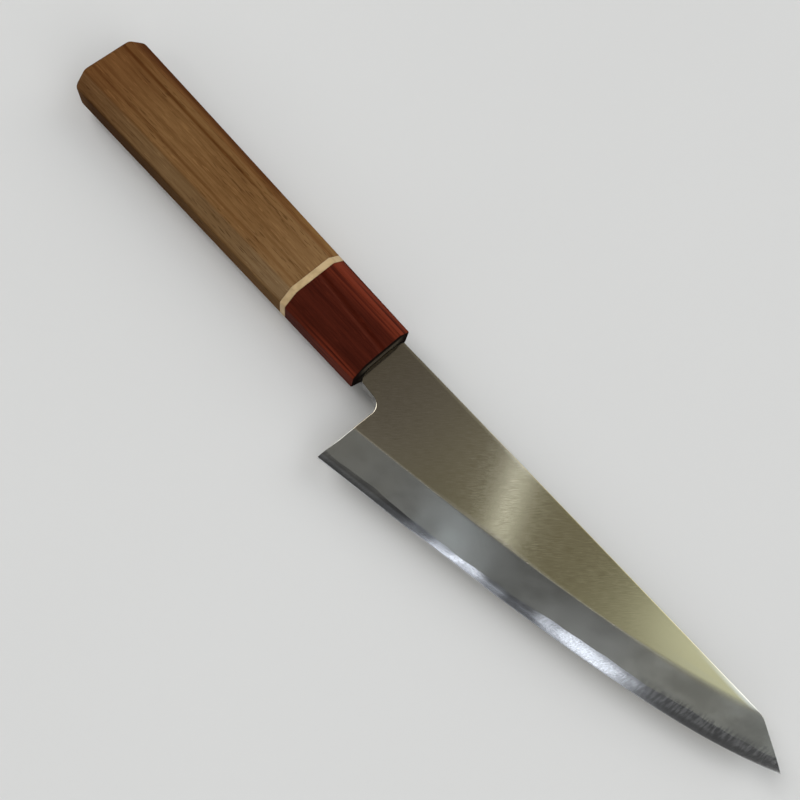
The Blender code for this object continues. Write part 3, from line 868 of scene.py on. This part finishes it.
# %% [markdown]
# ### Cream spacer, softwood dowel, bedding resin
#
# The spacer is a pale ring with faint growth marks and a dirty line at its neighbours.
# Dowel and resin are hidden and could stay grey, but a handle that is taken apart shows
# them: the dowel gets the grain group, the resin clouds alone.

# %% The small materials
CREAM_DARK, CREAM_LIGHT, SOIL = (0.42, 0.30, 0.152), (0.53, 0.385, 0.21), (0.15, 0.08, 0.04)
SPACER_MIDDLE = -30.15
SOFTWOOD = (0.42, 0.27, 0.13), (0.62, 0.46, 0.27), (0.3, 0.18, 0.09), 240, 900, 0.2
RESIN_DARK, RESIN_LIGHT = (0.006, 0.005, 0.005), (0.03, 0.022, 0.018)


def cream(tree):
    """Two creams mixed by clouds; soil where x is near either end of the ring."""
    place = object_place(tree)
    cloud, fine = noise(place, 300, 4, 0.6), noise(place, 2500, 2, 0.6)
    tone = blend(spread(cloud, 0.35, 0.65), CREAM_DARK, CREAM_LIGHT)
    soiled = spread(away(drawing_axes(place)["X"], SPACER_MIDDLE), 0.92, 1.1)
    return {
        "Base Color": blend(times(soiled, 0.45), tone, SOIL), "Specular IOR Level": 0.15,
        "Roughness": spread(fine, 0.3, 0.7, 0.34, 0.5), "Normal": bump(fine, 0.1, 0.00005),
    }


def softwood(tree):
    """The grain group in pale colours, rougher where it is lower."""
    grain = use_group(tree, GRAIN, *SOFTWOOD)
    rough = spread(grain["Height"], -0.2, 0.4, 0.75, 0.6)
    return {"Base Color": grain["Color"], "Roughness": rough, "Normal": bump(grain["Height"], 0.3, 0.0001)}


def resin(tree):
    """Near black, mixed and roughened by the same clouds."""
    cloud = noise(object_place(tree), 700, 4, 0.6)
    tone, rough = blend(cloud, RESIN_DARK, RESIN_LIGHT), spread(cloud, 0.3, 0.7, 0.3, 0.6)
    return {"Base Color": tone, "Roughness": rough, "Normal": bump(cloud, 0.3, 0.0001)}


finish("cream_spacer", cream, "spacer_ring_cream")
finish("dowel_softwood", softwood, "handle_dowel")
finish("bedding_resin", resin, "tang_bedding")

# %% [markdown]
# ## Steel
#
# Three finishes lie side by side: the satin flat, warm and fairly clear, so that lamps
# show in it as soft bands; the wide bevel, misty from a whetstone; and the bare core,
# honed and bright. Nodes can't read a curve, so each mesh stores how far its points lie
# above the edge and the ridge as an attribute.

# %% Store edge and ridge distance on the steel
RIM_DEPTH = 0.05


def store_place(piece, own_side):
    """steel_place: x, lift above edge and above ridge in mm; rim: depth below the grind."""
    mesh = piece.data
    spots = np.empty(len(mesh.vertices) * 3)
    mesh.vertices.foreach_get("co", spots)
    x, y, z = ((spots.reshape(-1, 3) - AXIS_FRONT) * MM_IN_METRE).T
    lift = y - edge_y(x)
    right = z >= 0 if own_side == 0 else np.full(len(x), own_side > 0)
    over = lift - np.where(right, ridge_lift(1, x), LEFT_BEVEL)
    layer = mesh.attributes.new("steel_place", "FLOAT_VECTOR", "POINT")
    layer.data.foreach_set("vector", np.column_stack([x, lift, over]).ravel())
    if own_side:
        depth = np.clip((height(own_side, x, y) - np.abs(z)) / RIM_DEPTH, 0.0, 1.0)
        mesh.attributes.new("rim", "FLOAT", "POINT").data.foreach_set("value", depth)
    print(piece.name, "lifts up to", round(float(lift.max()), 1), "mm")


for piece, own_side in ((right_cladding, 1), (left_cladding, -1), (core, 0)):
    store_place(piece, own_side)

# %% [markdown]
# Grinding leaves scratches. Thousands of grooves could be modelled, but noise that is
# squeezed along one direction looks the same. The group also puts out a broad cloud and
# a fine mottle, for the uneven mist. Near the tip, forging has left short dark strokes
# across the weld line, in both steels.

# %% The scratch group and the forge marks
def make_scratches():
    """Noise on turned coordinates, x times Length; clouds and mottle unturned."""
    inputs = {"Vector": "Place", "Float": "Turn Pitch Length"}
    tree, given, result = new_group("grinding_scratches", inputs, {"Float": "Fac Cloud Mottle"})
    turn = {"Vector": given["Place"], "Angle": given["Turn"]}
    parts = parts_of(add(tree, "VectorRotate", turn, rotation_type="Z_AXIS").outputs[0])
    level = add(tree, "CombineXYZ", {0: times(parts["X"], given["Length"]), 1: parts["Y"]}).outputs[0]
    fill(result, {
        "Fac": noise(level, given["Pitch"], 4, 0.7), "Cloud": noise(given["Place"], 0.09, 4, 0.55),
        "Mottle": noise(given["Place"], 2.2, 3, 0.7),
    })
    return tree


SCRATCHES = make_scratches()


def scratches(place, degrees, pitch, length):
    """The scratch group on millimetres; pitch is the number of lines per mm."""
    return use_group(place.id_data, SCRATCHES, place, math.radians(degrees), pitch, length)


def steel_place(tree):
    """The stored attribute and its numbers: x, lift above edge and above ridge."""
    place = add(tree, "Attribute", {}, attribute_name="steel_place").outputs["Vector"]
    return place, *parts_of(place)


def forge_marks(place, x, lift, none, full, strength):
    """Strokes times a slope between two lifts times a slope towards the tip."""
    strokes = scratches(place, -86, 1.3, 0.22)["Fac"]
    near = times(spread(lift, none, full), spread(x, 106, 126))
    return times(near, spread(strokes, 0.40, 0.62, 0, strength))


print("scratch group:", len(SCRATCHES.nodes), "nodes")

# %% [markdown]
# ### Satin flat
#
# The flat is brushed slantwise. Fine streaks vary its warm tone, which cools towards
# the heel. Along the spine, near the tip and towards the heel, the flat carries a painted
# highlight, and the ridge a soft painted highlight. A straight line through the spine's
# points tells the nodes where it is.

# %% Tone of the satin flat
SATIN_DARK, SATIN_LIGHT, HEEL_TINT = (0.525, 0.468, 0.272), (0.595, 0.532, 0.322), (0.86, 0.86, 1.12)
SPINE_HIGHLIGHT, HEEL_SPINE_HIGHLIGHT, RIDGE_HIGHLIGHT = (0.86, 0.83, 0.74), (0.80, 0.74, 0.55), (0.70, 0.64, 0.50)
SPINE_SLOPE, SPINE_FOOT = np.polyfit(*SPINE[SPINE[:, 0] > 100.0].T, 1)


def satin_tone(axes, x, streaks, ridge):
    """Two tones by the streaks, a tint at the heel, then painted highlights on spine and ridge."""
    tone = blend(spread(streaks, 0.3, 0.7), SATIN_DARK, SATIN_LIGHT)
    tone = tinted(tone, HEEL_TINT, spread(x, 62, 10))
    under_spine = minus(plus(times(axes["X"], SPINE_SLOPE), SPINE_FOOT), axes["Y"])
    # painted highlight along the spine near the tip
    tone = blend(times(spread(under_spine, 1.9, 0.3), spread(x, 116, 142)), tone, SPINE_HIGHLIGHT)
    # painted highlight along the spine towards the heel
    tone = blend(times(spread(under_spine, 1.7, 0.5), spread(x, 62, 30, 0, 0.75)), tone, HEEL_SPINE_HIGHLIGHT)
    # painted highlight on the ridge
    return blend(times(ridge, 0.5), tone, RIDGE_HIGHLIGHT)


print("spine near the tip:", round(SPINE_SLOPE, 4), round(SPINE_FOOT, 2))

# %% [markdown]
# ### Misty bevel
#
# A whetstone leaves soft steel grey and cloudy, with a few lighter scratches. A painted
# shade darkens one stretch and a painted light brightens another. Two tints in a row
# would multiply where they overlap, so the painted shade is blended into the other tint.

# %% Tone of the misty bevel
MIST_DARK, MIST_LIGHT, MIST_SCRATCH = (0.350, 0.345, 0.308), (0.400, 0.395, 0.356), (0.46, 0.46, 0.435)
WHITE, MIST_PAINTED_SHADE, MIST_PAINTED_LIGHT = (1, 1, 1), (0.80, 0.80, 0.79), (1.28, 1.28, 1.25)
SOFT_STROKE = (0.21, 0.21, 0.206)


def misty_tone(place, x, lift):
    """Greys by the clouds, times painted shade and light along x, then the forge marks."""
    stone = scratches(place, -80, 4, 0.06)
    tone = blend(spread(stone["Cloud"], 0.35, 0.65), MIST_DARK, MIST_LIGHT)
    tone = blend(spread(stone["Fac"], 0.55, 0.75), tone, MIST_SCRATCH)
    # painted shade on one stretch, painted light on another
    painted_cast = blend(between(x, 58, 72, 92, 106), WHITE, MIST_PAINTED_SHADE)
    tone = tinted(tone, blend(between(x, 100, 116, 132, 146), painted_cast, MIST_PAINTED_LIGHT))
    return blend(forge_marks(place, x, lift, 6.4, 4.4, 0.9), tone, SOFT_STROKE), stone["Cloud"]


print("mist tones:", MIST_DARK, MIST_LIGHT)

# %% [markdown]
# ### Soft steel
#
# One material covers flat and bevel, because they are one piece of steel. A mask from
# the height above the ridge passes from mist to satin, and more slowly near the tip,
# where the ridge is soft. The rim attribute marks the bare edges.

# %% Soft steel material
BARE_HEEL, BARE_TIP = (0.26, 0.258, 0.25), (0.60, 0.60, 0.57)


def soft_steel(tree):
    """Mist below the ridge, satin above it; roughness and relief follow the same mask."""
    (place, x, lift, over), axes = steel_place(tree), drawing_axes(object_place(tree))
    rim = add(tree, "Attribute", {}, attribute_name="rim").outputs["Fac"]
    tip = spread(x, 95, 130)
    flat = spread(calc("DIVIDE", over, plus(times(tip, 1.3), 0.35)), -1, 1)
    ridge = times(spread(away(over, 0.1), 0.45, 0.1), spread(tip, 0, 1, 1, 0.15))
    level = add(tree, "CombineXYZ", {0: axes["X"], 1: axes["Y"]}).outputs[0]
    streaks = scratches(level, -47, 5, 0.065)["Fac"]
    mist, cloud = misty_tone(place, x, lift)
    tone = blend(flat, mist, satin_tone(axes, x, streaks, ridge))
    sheen = {0: flat, 2: spread(cloud, 0.3, 0.7, 0.17, 0.21), 3: spread(streaks, 0.34, 0.66, 0.08, 0.17)}
    rough = plus(add(tree, "Mix", sheen).outputs[0], times(ridge, 0.1))
    relief = times(streaks, times(flat, spread(x, 66, 80, 1, 0.3)))
    return {
        "Base Color": blend(rim, tone, blend(tip, BARE_HEEL, BARE_TIP)),
        "Metallic": spread(flat, 0, 1, 0.87, 1), "Roughness": plus(rough, times(rim, 0.25)),
        "Normal": bump(relief, 0.5, 0.0000030),
    }


finish("soft_steel_ground", soft_steel, "right_cladding_ground", "left_cladding_ground")

# %% [markdown]
# ### Hard steel
#
# The honed band is a mirror with fine marks from the last stone. It could glow by
# itself, but it is plain metal, so that the lamps make its two bright stretches.
# Between them and at the heel a painted shade darkens it, near the tip its foot is
# darker, and along the very edge a rougher line carries a painted highlight.

# %% Hard steel material
HONED_DARK, HONED_LIGHT, MOTTLE = (0.63, 0.635, 0.63), (0.76, 0.765, 0.76), (0.46, 0.465, 0.46)
FOOT_TINT, BAND_PAINTED_SHADE, HARD_STROKE, EDGE_HIGHLIGHT = (0.60,) * 3, (0.50, 0.49, 0.47), (0.27,) * 3, (0.9,) * 3


def edge_highlight_line(x, lift):
    """Painted highlight on the lowest 0.4 mm, by the larger of two strengths along x."""
    middle = times(spread(x, 38, 46), spread(x, 70, 64, 0, 0.7))
    return times(spread(lift, 0.40, 0.16), calc("MAXIMUM", middle, spread(x, 15, 45, 0.7, 0.2)))


def honed_tone(place, x, lift, marks):
    """Two tones by the marks, then mottle, dark foot, forge marks and painted shade on stretches."""
    tone = blend(spread(marks["Fac"], 0.35, 0.65), HONED_DARK, HONED_LIGHT)
    tone = blend(spread(marks["Mottle"], 0.50, 0.68, 0, 0.5), tone, MOTTLE)
    tone = tinted(tone, FOOT_TINT, times(spread(lift, 2.6, 1.4), spread(x, 112, 128)))
    tone = blend(forge_marks(place, x, lift, -0.5, 1.6, 0.85), tone, HARD_STROKE)
    # painted shade on the band's upper part between its bright stretches and at the heel
    shaded_stretch = calc("MAXIMUM", between(x, 60, 68, 80, 88), spread(x, 48, 36))
    return tinted(tone, BAND_PAINTED_SHADE, times(shaded_stretch, spread(lift, 1.3, 2.2)))


def hard_steel(tree):
    """Honed tone, an edge line rougher with a painted highlight; mottle varies roughness and relief."""
    place, x, lift, _ = steel_place(tree)
    # the edge line is rougher and carries a painted highlight
    marks, line = scratches(place, -60, 2, 0.30), edge_highlight_line(x, lift)
    return {
        "Base Color": blend(line, honed_tone(place, x, lift, marks), EDGE_HIGHLIGHT), "Metallic": 1,
        "Roughness": plus(spread(marks["Mottle"], 0.3, 0.7, 0.11, 0.175), times(line, 0.35)),
        "Normal": bump(marks["Mottle"], 0.3, 0.000006),
    }


finish("hard_steel_honed", hard_steel, "core_steel_honed")

# %% [markdown]

# %% [markdown]
# ## The floor
#
# A pale matt floor keeps the knife's soft shadow. A plain plane is enough, and the
# faintest clouds keep it from looking like paper.

# %% Floor
FLOOR_HALF, FLOOR_DARK, FLOOR_LIGHT = 6.0, (0.66, 0.66, 0.65), (0.69, 0.69, 0.68)


def floor_pale(tree):
    """Two greys, mixed by broad clouds; nearly no gloss."""
    tone = blend(noise(object_place(tree), 6), FLOOR_DARK, FLOOR_LIGHT)
    return {"Base Color": tone, "Roughness": 0.9, "Specular IOR Level": 0.1}


mesh = bpy.data.meshes.new("floor")
corners = np.array([(-1, -1, 0), (1, -1, 0), (1, 1, 0), (-1, 1, 0)]) * FLOOR_HALF
mesh.from_pydata(corners, [], [(0, 1, 2, 3)])
floor = bpy.data.objects.new("floor", mesh)
bpy.context.scene.collection.objects.link(floor)
finish("floor_pale", floor_pale, "floor")

# %% [markdown]
# ## The room
#
# Polished steel is a picture of the room. A photograph of a studio could surround the
# knife, but smooth zones are enough: pale walls, and a ceiling that is dim and
# brightens to one side. A direction's place on the ceiling is its x and its y, each
# divided by its height, and all zones are slopes in these two numbers.

# %% World
DIM_LEFT, DIM_RIGHT, GLOW = (0.125, 0.115, 0.10), (0.215, 0.21, 0.198), (0.50, 0.535, 0.56)
TOP_GLOW, NEAR_LEFT, NEAR_MIDDLE = (0.92, 1.02, 1.08), (0.30, 0.30, 0.29), (0.035, 0.035, 0.036)
NEAR_RIGHT, NEAR_LOW = (0.122,) * 3, (0.036,) * 3


def ceiling_tone(right, back):
    """A dim half far from the camera and a darker near one, with a slanting seam."""
    dim = blend(spread(right, -0.2, 0), DIM_LEFT, DIM_RIGHT)
    dim = blend(spread(right, 0.14, 0.38), dim, GLOW)
    dim = blend(times(spread(back, 0.285, 0.34), spread(right, 0.22, 0.33)), dim, TOP_GLOW)
    near = blend(spread(right, -0.08, 0.03), NEAR_LEFT, NEAR_MIDDLE)
    near = blend(spread(right, 0.24, 0.36), near, NEAR_RIGHT)
    near = blend(spread(back, -0.16, -0.02), NEAR_LOW, near)
    seam = minus(back, spread(right, 0.28, 0.42, 0, 0.08))
    return blend(spread(seam, 0.16, 0.25), near, dim)


def room_tone(tree):
    """Grey walls that lighten with y near the horizon, the ceiling above them."""
    way = parts_of(add(tree, "TexCoord", {}).outputs["Generated"])
    high, grey = calc("MAXIMUM", way["Z"], 0.05), spread(way["Y"], -0.7, 0.3, 0.42, 0.56)
    wall = add(tree, "CombineColor", {0: grey, 1: grey, 2: grey}).outputs[0]
    ceiling = ceiling_tone(calc("DIVIDE", way["X"], high), calc("DIVIDE", way["Y"], high))
    return blend(spread(way["Z"], 0.35, 0.75), wall, ceiling)


world = bpy.data.worlds.new("studio")
bpy.context.scene.world = world
world.use_nodes = True
fill(world.node_tree.nodes["Background"].inputs, {"Color": room_tone(world.node_tree)})
print("room of", len(world.node_tree.nodes), "nodes")

# %% [markdown]
# ## Lamps
#
# A lamp shows in flat steel where the mirrored line of sight meets it. So each strip is
# given by its place in a plane 0.8 m above the blade: one makes the glow on the flat,
# one the pale stretch of the bevel, two the bright stretches of the honed band. Wide
# far lamps light wood and floor without showing in the steel, where one strong lamp
# would.

# %% Lamps
CEILING, FAR, FAR_WIDTH, COOL = 800, 500, 40, (0.94, 1.0, 1.12)


def hang(data, place, turn):
    """A lamp's object at a place in the drawing, with its turn."""
    made = bpy.data.objects.new(data.name, data)
    made.location, made.rotation_euler = to_world(place), turn
    bpy.context.scene.collection.objects.link(made)


def strip(name, centre, size, radiance, colour, turn=0.0):
    """A level area lamp; a square metre shows radiance 1 at pi watts."""
    data = bpy.data.lights.new(name, "AREA")
    data.shape = "RECTANGLE"
    data.size, data.size_y = size[0] / MM_IN_METRE, size[1] / MM_IN_METRE
    data.energy, data.color = radiance * math.pi * data.size * data.size_y, colour
    hang(data, (*centre, CEILING), (0, 0, math.radians(turn)))


def far_lamp(name, towards, strength):
    """A wide sun lamp in a direction; it lights the whole floor evenly."""
    data = bpy.data.lights.new(name, "SUN")
    data.energy, data.angle = strength, math.radians(FAR_WIDTH)
    hang(data, np.array(towards) * FAR, Vector(towards).to_track_quat("Z", "Y").to_euler())


strip("flat_strip", (105, 240), (30, 190), 1.05, (0.92, 1.02, 1.35), 27)
strip("bevel_strip", (124, -9.9), (46, 76.4), 2.1, (0.90, 1.01, 1.16), 23.3)
strip("band_strip", (159, -133), (44, 156), 2.2, COOL, -3)
strip("core_strip", (326, 0), (100, 100), 1.65, COOL)
far_lamp("near_side", (0.15, -0.77, 0.62), 0.4)
far_lamp("far_side", (0.30, 0.71, 0.63), 0.6)
far_lamp("butt_end", (-0.70, -0.05, 0.71), 1.5)
far_lamp("tip_end", (0.80, -0.10, 0.59), 0.8)
print("lamps:", len(bpy.data.lights))

# %% [markdown]
# ## The camera
#
# The photographed knife fixes the camera, almost above it and turned so that the handle
# points up and to the left. A Track To constraint would aim it, but not roll it, so its
# matrix is made from its right, up and backward directions.

# %% Camera
CAMERA_PLACE, FOCAL_PIXELS, FRAME_PIXELS, SENSOR = (41.92, -73.19, 240.55), 870.0, 800.0, 36.0
IMAGE_RIGHT, IMAGE_DOWN = Vector((0.67545, 0.72633, 0.12732)), Vector((0.72827, -0.62997, -0.26974))
optics = bpy.data.cameras.new("camera")
optics.sensor_width, optics.lens, optics.clip_start = SENSOR, FOCAL_PIXELS / FRAME_PIXELS * SENSOR, 0.01
camera = bpy.data.objects.new("camera", optics)
turn = Matrix((IMAGE_RIGHT, -IMAGE_DOWN, -IMAGE_RIGHT.cross(IMAGE_DOWN))).transposed().to_4x4()
camera.matrix_world = Matrix.Translation(to_world(CAMERA_PLACE)) @ turn
bpy.context.scene.collection.objects.link(camera)
bpy.context.scene.camera = camera
bpy.context.scene.view_settings.view_transform = "Standard"
print("lens of", round(optics.lens, 2), "mm")
